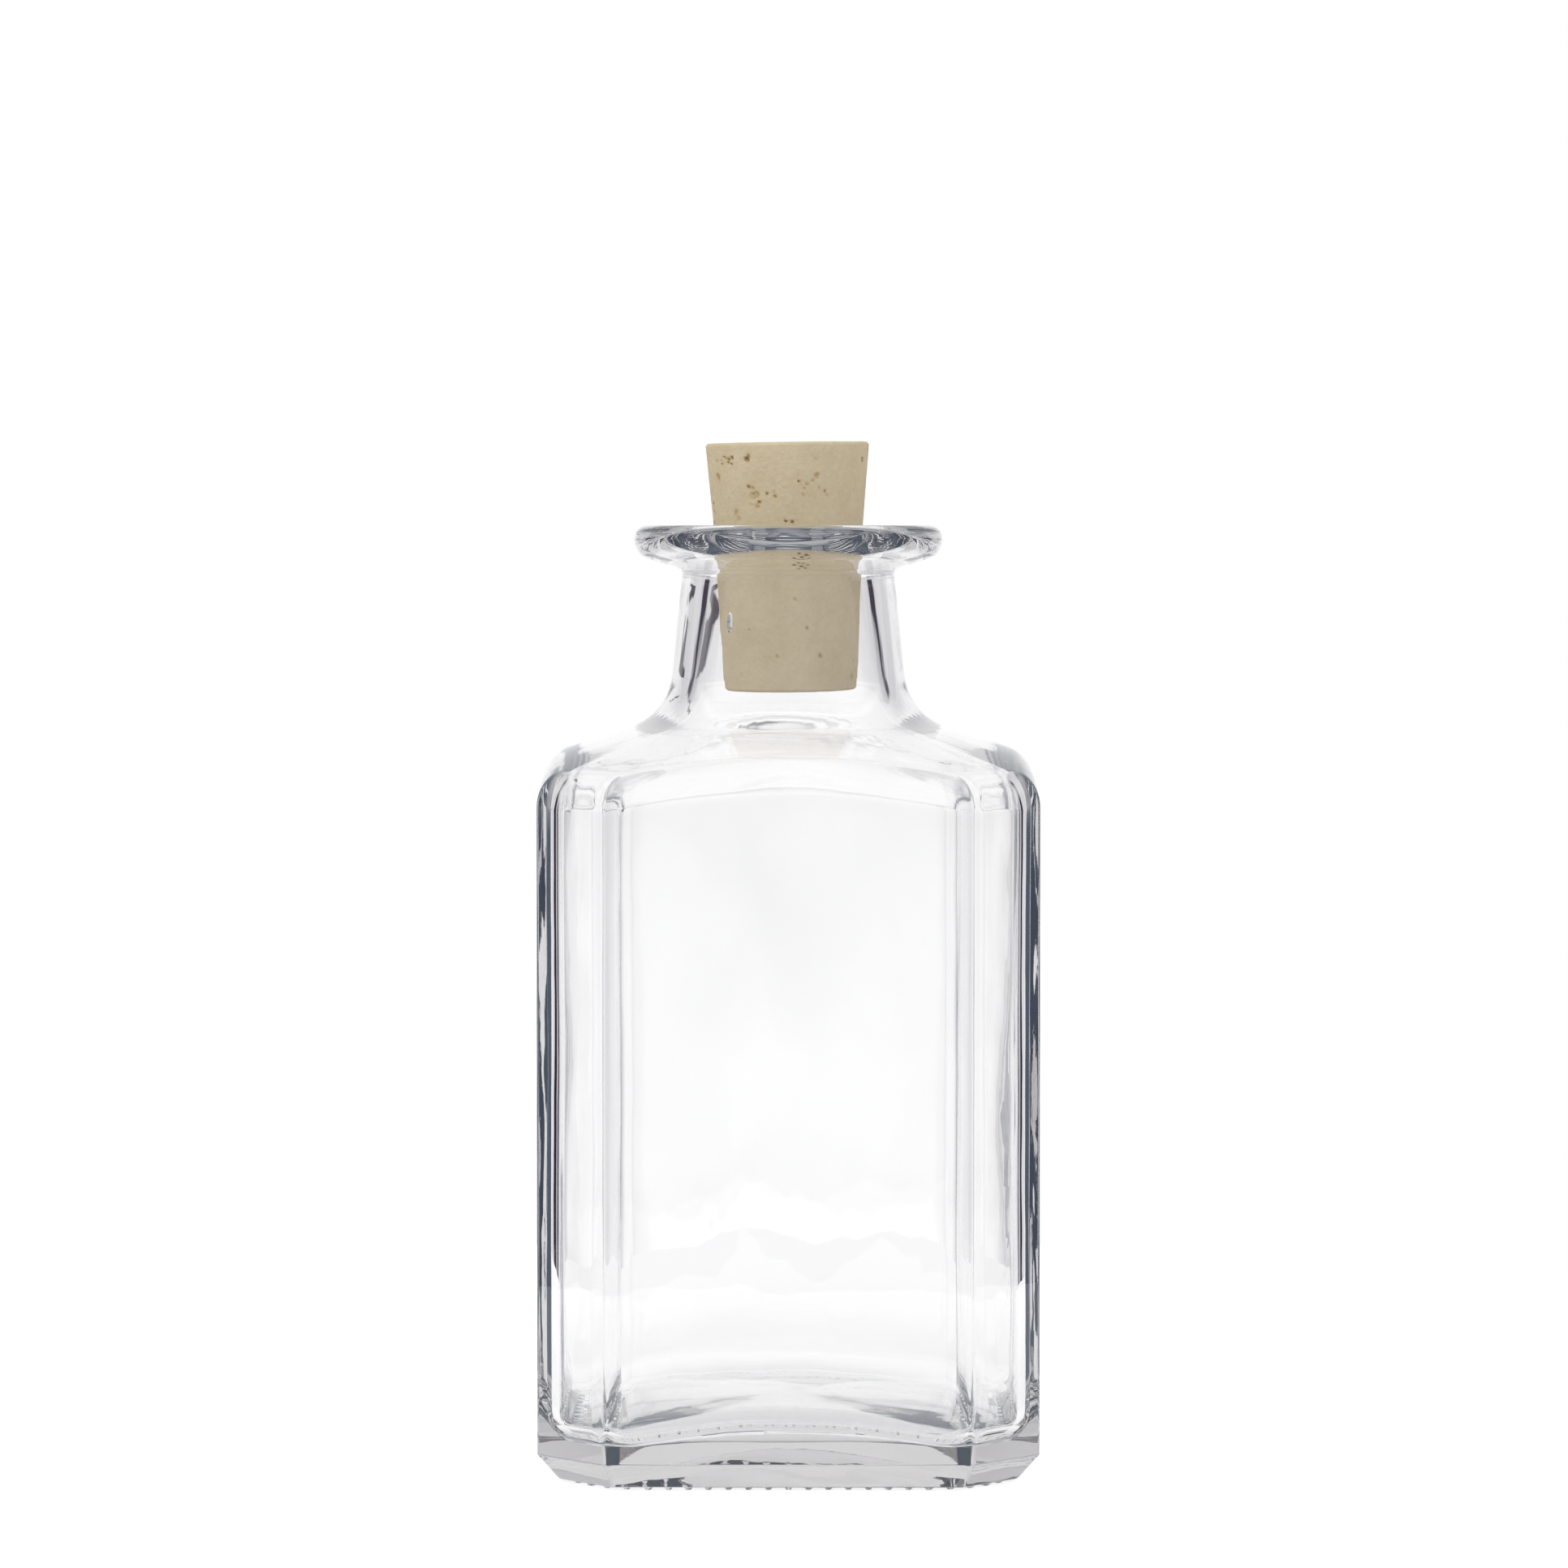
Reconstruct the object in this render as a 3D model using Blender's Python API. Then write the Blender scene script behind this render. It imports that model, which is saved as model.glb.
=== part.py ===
"""A square glass bottle with a tapered cork. Metres, +Z up, origin at the middle of the foot.

The bottle is one moulded piece: an eight-sided prism below, a cone of revolution that cuts it at the
shoulder, and a round neck and lip. It is lofted from upright columns of points, each of which runs
from the middle of the foot up the outside, over the lip and down the inside to the middle of the
floor, with its corners rounded.
"""

import math

import bmesh
import bpy
from mathutils import Matrix, Vector

# Body of the bottle: four wide panels, and a narrow flat that cuts each upright corner
BODY_WIDTH = 0.0612
CORNER_CUT = 0.0083
CORNER_EDGE_RADIUS = 0.0010
WALL = 0.0027
INNER_CORNER_RADIUS = 0.0060

# Foot: a heel, a flat bearing ring with knurls, and a shallow push-up inside the ring
HEEL_HEIGHT = 0.00345
HEEL_INSET = 0.00265
HEEL_RADIUS = 0.0004
BEARING_WIDTH = 0.0033
PUSH_UP_DEPTH = 0.0024
PUSH_UP_CORNER_RADIUS = 0.0080
KNURL_HEIGHT = 0.00035
KNURL_PITCH = 0.00245
KNURL_WIDTH = 0.00110
KNURL_TIP_WIDTH = 0.00045
KNURL_LENGTH = 0.0027
KNURL_TIP_LENGTH = 0.0021

# Floor of the cavity, which is domed and runs down into the four corners
FLOOR_CENTRE_HEIGHT = 0.0090
FLOOR_SIDE_HEIGHT = 0.0063
FLOOR_CORNER_HEIGHT = 0.0036
FLOOR_RADIUS = 0.0032

# Shoulder: the cone's height over the middle of a panel, before the edge is rounded
SHOULDER_HEIGHT = 0.08795
SHOULDER_SLOPE = math.radians(18)
SHOULDER_RADIUS = 0.0045
INNER_SHOULDER_RADIUS = 0.0035

# Neck, lip and bore, up from the shoulder: below the flared mouth comes the throat, the bore's
# narrowest place
NECK_HEIGHT = 0.02870
NECK_DIAMETER = 0.0264
NECK_TAPER = math.radians(5.8)
NECK_ROOT_RADIUS = 0.0076
BORE_TAPER = math.radians(0.5)
BORE_ROOT_RADIUS = 0.0205
LIP_DIAMETER = 0.0385
LIP_DEPTH = 0.00375
LIP_UNDER_SLOPE = math.radians(17.8)
LIP_ROOT_RADIUS = 0.0006
LIP_LOWER_RADIUS = 0.0026
LIP_UPPER_RADIUS = 0.0016
MOUTH_DIAMETER = 0.0270
MOUTH_SLOPE = math.radians(50)
MOUTH_RADIUS = 0.0010
THROAT_RADIUS = 0.0034

# Cork: it tapers more above the mouth than below, where the glass has squeezed it
CORK_TOP_DIAMETER = 0.0205
CORK_SEAT_DIAMETER = 0.0187
CORK_FOOT_DIAMETER = 0.0165
CORK_STANDING = 0.0103
CORK_SUNK = 0.0213
CORK_RIM = 0.0003
CORK_LEAN = math.radians(0.8)
CORK_CLEARANCE = 0.0003

# How far a joined shape reaches into the glass that carries it
OVERRUN = 0.0006

# Fineness of the mesh
PANEL_STEPS = 5
EDGE_STEPS = 2
CORNER_STEPS = 2
CORK_SIDES = 48
RING_SHARES = (0.25, 0.5, 0.7, 0.88)

# Sizes that follow from those above
BOTTLE_HEIGHT = SHOULDER_HEIGHT + NECK_HEIGHT
HALF_WIDTH = BODY_WIDTH / 2
HALF_CORNER = (BODY_WIDTH - CORNER_CUT) / math.sqrt(2)
LIP_HALF = LIP_DIAMETER / 2
CORK_NARROWING = (CORK_SEAT_DIAMETER - CORK_FOOT_DIAMETER) / 2 / CORK_SUNK
THROAT_HALF = CORK_SEAT_DIAMETER / 2 - CORK_NARROWING * LIP_DEPTH + CORK_CLEARANCE
EIGHTH = math.pi / 4


def outline_point(station, inset, rounding):
    """A point of the eight-sided outline, moved in by the inset, its edges rounded.

    The station runs from 0 at the middle of a panel to 1 where the edge starts to turn, to 2 where
    the corner flat starts, and to 3 at that flat's middle.
    """
    flat = HALF_WIDTH - inset - rounding
    centre = Vector((flat, (HALF_CORNER - inset - rounding) * math.sqrt(2) - flat))
    if station <= 1:
        return Vector((flat + rounding, centre.y * station))
    if station <= 2:
        return centre + heading((station - 1) * EIGHTH) * rounding
    end = centre + heading(EIGHTH) * rounding
    return end.lerp(heading(EIGHTH) * (HALF_CORNER - inset), station - 2)


def heading(slope):
    """A direction in a plane, as an angle from its first axis."""
    return Vector((math.cos(slope), math.sin(slope)))


def stations():
    """Where the upright columns of points stand along an eighth of the outline."""
    panel = [step / PANEL_STEPS for step in range(PANEL_STEPS)]
    edge = [1 + step / EDGE_STEPS for step in range(EDGE_STEPS)]
    corner = [2 + step / CORNER_STEPS for step in range(CORNER_STEPS + 1)]
    return panel + edge + corner


def crossing(first, first_way, second, second_way):
    """Where two lines cross, in the plane of distance from the axis and height."""
    turn = first_way.cross(second_way)
    return first + first_way * ((second - first).cross(second_way) / turn)


def cone_height(radius):
    """Height of the shoulder's cone at a distance from the axis."""
    return SHOULDER_HEIGHT + (HALF_WIDTH - radius) * math.tan(SHOULDER_SLOPE)


def neck_corners():
    """The sharp corners of the neck, lip and bore, as distance from the axis and height."""
    cone_way = heading(math.pi - SHOULDER_SLOPE)
    cone = Vector((HALF_WIDTH, SHOULDER_HEIGHT))
    inner_cone = cone - Vector((0, WALL / math.cos(SHOULDER_SLOPE)))
    lip_low = Vector((LIP_HALF, BOTTLE_HEIGHT - LIP_DEPTH))
    under_way = heading(math.pi + LIP_UNDER_SLOPE)
    neck_side = Vector((NECK_DIAMETER / 2, 0))
    neck_top = crossing(neck_side, Vector((0, 1)), lip_low, under_way)
    neck_root = crossing(cone, cone_way, neck_top, heading(math.pi / 2 + NECK_TAPER))
    lip_high = Vector((LIP_HALF, BOTTLE_HEIGHT))
    mouth = Vector((MOUTH_DIAMETER / 2, BOTTLE_HEIGHT))
    bore_way = heading(BORE_TAPER - math.pi / 2)
    bore_top = Vector((THROAT_HALF, BOTTLE_HEIGHT - LIP_DEPTH))
    throat = crossing(mouth, heading(math.pi / 2 - MOUTH_SLOPE), bore_top, bore_way)
    bore_root = crossing(throat, bore_way, inner_cone, cone_way)
    return neck_root, neck_top, lip_low, lip_high, mouth, throat, bore_root


def raised(point, height):
    """A point of a level outline, put at a height."""
    return Vector((point.x, point.y, height))


def rounded(before, corner, after, radius, steps):
    """Points of the arc that rounds a corner between two straight stretches."""
    back = (before - corner).normalized()
    ahead = (after - corner).normalized()
    half = back.angle(ahead) / 2
    centre = corner + (back + ahead).normalized() * radius / math.sin(half)
    start = (corner + back * radius / math.tan(half) - centre).normalized()
    end = (corner + ahead * radius / math.tan(half) - centre).normalized()
    return [centre + start.slerp(end, step / steps) * radius for step in range(steps + 1)]


def dome(edge, centre_height, shares):
    """Points from the edge of a dome in towards the middle, but not the middle itself."""
    rise = centre_height - edge.z
    return [raised(edge * share, edge.z + rise * (1 - share**2)) for share in shares]


def floor_height(point):
    """Height of the floor at the foot of the wall: lower where the wall is farther out."""
    nearest = HALF_WIDTH - WALL
    farthest = HALF_CORNER - WALL
    share = (point.length - nearest) / (farthest - nearest)
    return FLOOR_SIDE_HEIGHT + (FLOOR_CORNER_HEIGHT - FLOOR_SIDE_HEIGHT) * share


def bottle_column(station):
    """The corners of one column, rounded: up the outside, over the lip and down the inside."""
    outer = outline_point(station, 0, CORNER_EDGE_RADIUS)
    inner = outline_point(station, WALL, INNER_CORNER_RADIUS)
    heel = outline_point(station, HEEL_INSET, CORNER_EDGE_RADIUS)
    ring = outline_point(station, HEEL_INSET + BEARING_WIDTH, PUSH_UP_CORNER_RADIUS)
    ring = raised(ring, KNURL_HEIGHT)
    heel_foot = raised(heel, KNURL_HEIGHT)
    heel_top = raised(outer, HEEL_HEIGHT)
    shoulder = raised(outer, cone_height(outer.length))
    outward = outer.normalized()
    turned = [raised(outward * corner.x, corner.y) for corner in neck_corners()]
    neck_root, neck_top, lip_low, lip_high, mouth, throat, bore_root = turned
    inner_cone_height = cone_height(inner.length) - WALL / math.cos(SHOULDER_SLOPE)
    inner_shoulder = raised(inner, inner_cone_height)
    floor_edge = raised(inner, floor_height(inner))
    floor = dome(floor_edge, FLOOR_CENTRE_HEIGHT, RING_SHARES[::-1])
    points = dome(ring, KNURL_HEIGHT + PUSH_UP_DEPTH, RING_SHARES) + [ring]
    points += rounded(ring, heel_foot, heel_top, HEEL_RADIUS, 2)
    points += rounded(heel_foot, heel_top, shoulder, HEEL_RADIUS, 2)
    points += rounded(heel_top, shoulder, neck_root, SHOULDER_RADIUS, 6)
    points += rounded(shoulder, neck_root, neck_top, NECK_ROOT_RADIUS, 6)
    points += rounded(neck_root, neck_top, lip_low, LIP_ROOT_RADIUS, 2)
    points += rounded(neck_top, lip_low, lip_high, LIP_LOWER_RADIUS, 4)
    points += rounded(lip_low, lip_high, mouth, LIP_UPPER_RADIUS, 4)
    points += rounded(lip_high, mouth, throat, MOUTH_RADIUS, 3)
    points += rounded(mouth, throat, bore_root, THROAT_RADIUS, 5)
    points += rounded(throat, bore_root, inner_shoulder, BORE_ROOT_RADIUS, 8)
    points += rounded(bore_root, inner_shoulder, floor_edge, INNER_SHOULDER_RADIUS, 4)
    points += rounded(inner_shoulder, floor_edge, floor[0], FLOOR_RADIUS, 4)
    return points + floor


def all_round(eighth):
    """Columns of the whole outline, from those of an eighth: mirrored once, then turned."""
    flip = Matrix(((0, 1, 0), (1, 0, 0), (0, 0, 1)))
    mirrored = [[flip @ point for point in column] for column in eighth[-2:0:-1]]
    columns = []
    for quarter in range(4):
        turn = Matrix.Rotation(quarter * 2 * EIGHTH, 3, "Z")
        columns += [[turn @ point for point in column] for column in eighth + mirrored]
    return columns


def loft(columns, low_centre, high_centre):
    """A closed mesh through columns of points round the axis, with a point that closes each end."""
    mesh = bmesh.new()
    grid = [[mesh.verts.new(point) for point in column] for column in columns]
    ends = ((mesh.verts.new((0, 0, low_centre)), 0), (mesh.verts.new((0, 0, high_centre)), -1))
    for column, beside in zip(grid, grid[1:] + grid[:1]):
        for row in range(len(column) - 1):
            mesh.faces.new((column[row], beside[row], beside[row + 1], column[row + 1]))
        for centre, row in ends:
            mesh.faces.new((centre, column[row], beside[row]))
    bmesh.ops.recalc_face_normals(mesh, faces=mesh.faces)
    return mesh


def add_object(name, mesh, material, sharp_angle):
    """A new object from a bmesh, shaded smooth but for its crisp edges."""
    data = bpy.data.meshes.new(name)
    mesh.to_mesh(data)
    mesh.free()
    data.materials.append(material)
    data.shade_smooth()
    data.set_sharp_from_angle(angle=sharp_angle)
    made = bpy.data.objects.new(name, data)
    bpy.context.scene.collection.objects.link(made)
    return made


def plain_material(name, colour, roughness):
    """A Principled material of one colour, not metallic."""
    material = bpy.data.materials.new(name)
    material.use_nodes = True
    shader = material.node_tree.nodes["Principled BSDF"]
    shader.inputs["Base Color"].default_value = (*colour, 1)
    shader.inputs["Roughness"].default_value = roughness
    shader.inputs["Metallic"].default_value = 0
    return material


def clear_glass():
    """Colourless bottle glass."""
    material = plain_material("clear_glass", (0.97, 0.98, 0.98), 0.02)
    shader = material.node_tree.nodes["Principled BSDF"]
    shader.inputs["Transmission Weight"].default_value = 1
    shader.inputs["IOR"].default_value = 1.52
    return material


def knurl_places():
    """Where the knurls of a quarter stand on the bearing ring's middle line, and how they face."""
    inset = HEEL_INSET + BEARING_WIDTH / 2
    rounding = PUSH_UP_CORNER_RADIUS + BEARING_WIDTH / 2
    straight = outline_point(1, inset, rounding).y
    slant = (outline_point(3, inset, rounding) - outline_point(2, inset, rounding)).length
    eighth = straight + rounding * EIGHTH + slant
    count = round(2 * eighth / KNURL_PITCH)
    places = []
    for step in range(count):
        along = 2 * eighth * step / count
        past = along > eighth
        along = min(along, 2 * eighth - along)
        turned = min(max(along - straight, 0) / (rounding * EIGHTH), 1)
        slid = max(along - straight - rounding * EIGHTH, 0) / slant
        spot = outline_point(min(along / straight, 1) + turned + slid, inset, rounding)
        facing = turned * EIGHTH
        if past:
            spot, facing = spot.yx, 2 * EIGHTH - facing
        places.append((spot, facing))
    return places


def knurl_bars():
    """All the knurls of the bearing ring: small bars with sloping sides, sunk into the glass."""
    mesh = bmesh.new()
    reach = (KNURL_HEIGHT + OVERRUN) / KNURL_HEIGHT
    sunk_width = KNURL_TIP_WIDTH + (KNURL_WIDTH - KNURL_TIP_WIDTH) * reach
    sunk_length = KNURL_TIP_LENGTH + (KNURL_LENGTH - KNURL_TIP_LENGTH) * reach
    levels = (
        (KNURL_TIP_LENGTH / 2, KNURL_TIP_WIDTH / 2, 0),
        (sunk_length / 2, sunk_width / 2, KNURL_HEIGHT + OVERRUN),
    )
    signs = ((1, 1), (-1, 1), (-1, -1), (1, -1))
    for side in range(4):
        turn = Matrix.Rotation(side * 2 * EIGHTH, 4, "Z")
        for spot, facing in knurl_places():
            place = turn @ Matrix.Translation(raised(spot, 0)) @ Matrix.Rotation(facing, 4, "Z")
            tip, root = [
                [mesh.verts.new(place @ Vector((long * a, wide * b, height))) for a, b in signs]
                for long, wide, height in levels
            ]
            mesh.faces.new(tip)
            mesh.faces.new(root[::-1])
            for here in range(4):
                after = (here + 1) % 4
                mesh.faces.new((tip[here], tip[after], root[after], root[here]))
    bmesh.ops.recalc_face_normals(mesh, faces=mesh.faces)
    return mesh


def glass_bottle():
    """The bottle, with the knurls of its bearing ring joined on."""
    glass = clear_glass()
    columns = all_round([bottle_column(station) for station in stations()])
    body = loft(columns, KNURL_HEIGHT + PUSH_UP_DEPTH, FLOOR_CENTRE_HEIGHT)
    bottle = add_object("glass_bottle", body, glass, math.radians(25))
    guide = add_object("knurl_guide", knurl_bars(), glass, math.radians(25))
    guide.hide_render = True
    guide.display_type = "WIRE"
    join = bottle.modifiers.new("knurls", "BOOLEAN")
    join.operation = "UNION"
    join.solver = "EXACT"
    join.object = guide
    return bottle


def cork_stopper():
    """The cork: punched from bark with a straight taper, and squeezed where the mouth holds it."""
    cork = plain_material("natural_cork", (0.55, 0.45, 0.29), 0.85)
    seat = CORK_SEAT_DIAMETER / 2
    foot = CORK_FOOT_DIAMETER / 2
    top = CORK_TOP_DIAMETER / 2
    profile = (
        (foot - CORK_RIM, -CORK_SUNK),
        (foot, CORK_RIM - CORK_SUNK),
        (seat, 0),
        (top, CORK_STANDING - CORK_RIM),
        (top - CORK_RIM, CORK_STANDING),
    )
    turns = [heading(2 * math.pi * side / CORK_SIDES) for side in range(CORK_SIDES)]
    columns = [[raised(turn * radius, height) for radius, height in profile] for turn in turns]
    body = loft(columns, -CORK_SUNK, CORK_STANDING)
    stopper = add_object("cork_stopper", body, cork, math.radians(30))
    stopper.location = (0, 0, BOTTLE_HEIGHT)
    stopper.rotation_euler = (0, -CORK_LEAN, 0)
    return stopper


def main():
    """Empties the scene and makes the two pieces."""
    for old in list(bpy.data.objects):
        bpy.data.objects.remove(old, do_unlink=True)
    glass_bottle()
    cork_stopper()


main()
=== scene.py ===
"""Dresses the square glass bottle and its cork, and stages them as they were photographed.

The glass is lofted as the solid is, from upright columns of points, but finer. Geometry Nodes then
press in what the mould leaves: knurls under the foot, a parting ring on the neck, and the soft waves
that blown glass keeps inside. They also turn the cork, with its taper and its pits.
"""

import math
import random

import bmesh
import bpy
from mathutils import Matrix, Vector


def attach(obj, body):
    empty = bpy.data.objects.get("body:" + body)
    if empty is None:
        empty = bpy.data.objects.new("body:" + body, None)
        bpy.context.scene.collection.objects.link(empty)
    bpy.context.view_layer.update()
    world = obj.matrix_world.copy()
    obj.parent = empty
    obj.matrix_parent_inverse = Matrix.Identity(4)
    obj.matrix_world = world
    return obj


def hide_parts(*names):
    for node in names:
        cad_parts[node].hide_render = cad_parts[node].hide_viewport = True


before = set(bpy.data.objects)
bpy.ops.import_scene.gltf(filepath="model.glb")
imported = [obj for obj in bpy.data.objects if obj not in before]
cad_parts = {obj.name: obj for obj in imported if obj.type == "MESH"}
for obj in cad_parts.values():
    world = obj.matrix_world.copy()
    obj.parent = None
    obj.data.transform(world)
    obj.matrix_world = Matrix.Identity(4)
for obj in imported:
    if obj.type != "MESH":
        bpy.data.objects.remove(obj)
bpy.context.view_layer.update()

# Sizes of the bottle in metres. They are the solid's, but for SHOULDER_WALL, FLOOR_CORNER_HEIGHT,
# INNER_SHOULDER_RADIUS, BORE_TAPER and BORE_ROOT_RADIUS, which come from how light runs in the glass
BODY_WIDTH = 0.0612
CORNER_CUT = 0.0083
CORNER_EDGE_RADIUS = 0.0010
WALL = 0.0027
SHOULDER_WALL = 0.0021
INNER_CORNER_RADIUS = 0.0060
HEEL_HEIGHT = 0.00345
HEEL_INSET = 0.00265
HEEL_RADIUS = 0.0004
BEARING_WIDTH = 0.0033
PUSH_UP_DEPTH = 0.0024
PUSH_UP_CORNER_RADIUS = 0.0080
KNURL_HEIGHT = 0.00035
KNURL_PITCH = 0.00245
KNURL_WIDTH = 0.00110
KNURL_TIP_WIDTH = 0.00045
KNURL_LENGTH = 0.0027
KNURL_TIP_LENGTH = 0.0021
FLOOR_CENTRE_HEIGHT = 0.0090
FLOOR_SIDE_HEIGHT = 0.0063
FLOOR_CORNER_HEIGHT = 0.0044
FLOOR_RADIUS = 0.0032
SHOULDER_HEIGHT = 0.08795
SHOULDER_SLOPE = math.radians(18)
SHOULDER_RADIUS = 0.0045
INNER_SHOULDER_RADIUS = 0.0040
NECK_HEIGHT = 0.02870
NECK_DIAMETER = 0.0264
NECK_TAPER = math.radians(5.8)
NECK_ROOT_RADIUS = 0.0076
BORE_TAPER = math.radians(9)
BORE_ROOT_RADIUS = 0.0080
LIP_DIAMETER = 0.0385
LIP_DEPTH = 0.00375
LIP_UNDER_SLOPE = math.radians(17.8)
LIP_ROOT_RADIUS = 0.0006
LIP_LOWER_RADIUS = 0.0026
LIP_UPPER_RADIUS = 0.0016
MOUTH_DIAMETER = 0.0270
MOUTH_SLOPE = math.radians(50)
MOUTH_RADIUS = 0.0010
THROAT_RADIUS = 0.0034
BUBBLE_PLACE = (-0.0069, -0.0102, 0.1046)
BUBBLE_HALF = (0.00036, 0.00042, 0.00130)

# Sizes of the cork
CORK_TOP_DIAMETER = 0.0205
CORK_SEAT_DIAMETER = 0.0187
CORK_FOOT_DIAMETER = 0.0165
CORK_STANDING = 0.0103
CORK_SUNK = 0.0213
CORK_RIM = 0.0003
CORK_LEAN = math.radians(0.8)
CORK_CLEARANCE = 0.0003

# How finely the cork's rod is made, before it is turned
CORK_ROD = {
    "Vertices": 320, "Side Segments": 180, "Fill Segments": 16, "Radius": 1, "Depth": 1,
}

# Sizes that follow from those above
BOTTLE_HEIGHT = SHOULDER_HEIGHT + NECK_HEIGHT
HALF_WIDTH = BODY_WIDTH / 2
HALF_CORNER = (BODY_WIDTH - CORNER_CUT) / math.sqrt(2)
LIP_HALF = LIP_DIAMETER / 2
CORK_NARROWING = (CORK_SEAT_DIAMETER - CORK_FOOT_DIAMETER) / 2 / CORK_SUNK
THROAT_HALF = CORK_SEAT_DIAMETER / 2 - CORK_NARROWING * LIP_DEPTH + CORK_CLEARANCE
EIGHTH = math.pi / 4
RING_INSET = HEEL_INSET + BEARING_WIDTH / 2
RING_ROUNDING = PUSH_UP_CORNER_RADIUS + BEARING_WIDTH / 2

# Camera: where the photograph was taken from, with the bottle's axis a little right of the middle
PICTURE_SIDE = 1932
FOCAL_PIXELS = 7280.9
SENSOR_WIDTH = 36
CAMERA_PLACE = (-0.00054, -0.739, 0.11635)
CAMERA_TILT = math.radians(1.650)
CAMERA_SHIFT = -0.055
CAMERA_REACH = (0.01, 10)

MILLIMETRE = 0.001
HALF_TURN = 180

# How often light may meet surfaces: in all, mirrored, and passing into or out of glass
BOUNCES = (32, 24, 24)

# How finely the bottle's push-up and floor are lofted, in rows from edge to middle
PUSH_UP_STEPS = 10
FLOOR_STEPS = 12

# How the mould and the blowing mark the glass, in metres
WAVE_STRETCH = (1, 1, 0.45)
WAVE_DEPTH = 0.00045
WAVE_SIZE = 0.020
RIPPLE_DEPTH = 0.00006
RIPPLE_SIZE = 0.005
SKIN_DEPTH = 0.00003
SKIN_SIZE = 0.007
SEAM_HEIGHT = 0.00008
SEAM_WIDTH = 0.0003
NECK_RING_HEIGHT = 0.1078
PRESS_SEED = 4

# Where those marks fade, each as two heights and what is left of the marks at them
WAVE_SHOULDER = (0.084, 0.092, 1, 0.12)
WAVE_END = (0.106, 0.112, 1, 0)
SKIN_START = (0.001, 0.006)
SKIN_END = (0.086, 0.112, 1, 0)

# Edges sharper than these are shaded sharp
GLASS_SHARP_ANGLE = math.radians(35)
CORK_SHARP_ANGLE = math.radians(40)

# The glass itself: how it bends light, how it dims it, and the faint peel of its surface
GLASS_INDEX = 1.52
GLASS_TINT = (0.863, 0.859, 0.861)
GLASS_DENSITY = 58
GLASS_SHADOW = (0.99, 0.99, 0.99)
PEEL_DEPTH = 0.000003
PEEL_STRETCH = (1, 1, 0.4)
PEEL_COARSE = 0.0024
PEEL_FINE = 0.0009
PEEL_FINE_SHARE = 0.3
PEEL_END = (0.084, 0.100, 1, 0)

# Finish of the cork: its colours; how much paler its colour is painted inside the neck, as painted
# light for the light that the glass keeps from it; how its noises mix the colours, each as two
# levels of noise and the shares at them; and its relief
CORK_TAN = (0.565, 0.480, 0.330)
CORK_SHADE = (0.490, 0.405, 0.265)
CORK_FLECK = (0.400, 0.315, 0.190)
CORK_STAIN = (0.470, 0.300, 0.110)
CORK_PORE = (0.150, 0.090, 0.030)
CORK_PAINTED_LIGHT_IN_NECK = 1.14
CORK_PAINTED_LIGHT_EDGE = 0.004
CORK_ROUGHNESS = (0.82, 0.95)
CORK_SHINE = 0.3
TAN_BY_TONE = (-0.5, 0.5)
FLECK_BY_NOISE = (0.30, 0.75, 0, 0.50)
STAIN_BY_SPECK = (-0.5, 0.4, 0.1, 0.55)
PORE_BY_SPECK = (-0.35, 0.25, 0.35, 1)
CLOUD_SIZE = 0.004
CELL_SIZE = 0.0007
CELL_RELIEF = 0.00010
CELL_RELIEF_SHARE = 0.8
FLECK_SIZE = 0.0011
FLECK_STRETCH = (1, 1, 0.6)
SPECK_SIZE = 0.00045
GRAIN_DEPTH = 0.00003
GRAIN_SIZE = 0.0012
FLUTE_DEPTH = 0.00004
FLUTE_SIZE = 0.0022
FLUTE_STRETCH = (1, 1, 0.12)

# Pits of the cork: how uneven their outline is, and where the pit and its stain end, as shares of
# the size; then the pits that are not in the photograph, all round and on the top
CORK_SEED = 11
PIT_DEPTH = 0.0004
PIT_UNEVEN = 0.9
PIT_UNEVEN_SIZE = 0.0009
PIT_END = (0.6, 1.25, 1, 0)
HALO_END = (1.0, 2.2, 1, 0)
STAIN_BY_STRENGTH = (0, 0.5, 0.3, 1)
SPARE_MARKS = 70
SPARE_SIZES = (0.14, 0.16, 0.2, 0.25, 0.45)
SPARE_TURNS = (math.radians(-35), math.radians(215))
ONE_IN_THE_TOP = 6

# The studio as the glass sees it: how white it is by the angle from straight behind, in degrees
DARK_GAP = (0.020, 0.013, 0.030)
CARD_LEVELS = (
    (0, (1.0, 1.0, 1.0)), (2, (0.98, 0.98, 0.985)), (5, (0.95, 0.95, 0.955)),
    (16, (0.86, 0.855, 0.865)), (24, (0.73, 0.725, 0.74)), (30, (0.66, 0.655, 0.675)),
    (40, (0.68, 0.675, 0.69)), (47.5, (0.66, 0.655, 0.675)), (49.5, DARK_GAP), (59.5, DARK_GAP),
    (62.5, (0.34, 0.34, 0.36)), (66, (0.52, 0.52, 0.54)), (71, (0.52, 0.52, 0.54)),
    (74, DARK_GAP), (88, DARK_GAP), (91, (0.57, 0.57, 0.59)), (180, (0.64, 0.64, 0.655)),
)

# The heights, as sines, past which the cards and the dark gaps between them end, above and below
GAP_TOP = (0.36, 0.50)
GAP_FOOT = (-0.42, -0.60)
OPEN_LEVEL = (0.72, 0.72, 0.73)

# The darker room beyond the cards: from which angle, round which height and how far each way
ROOM_LEVEL = (0.22, 0.23, 0.25)
ROOM_FROM = (95, 104)
ROOM_MIDDLE = -0.07
ROOM_HALF = (0.07, 0.15)

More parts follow.
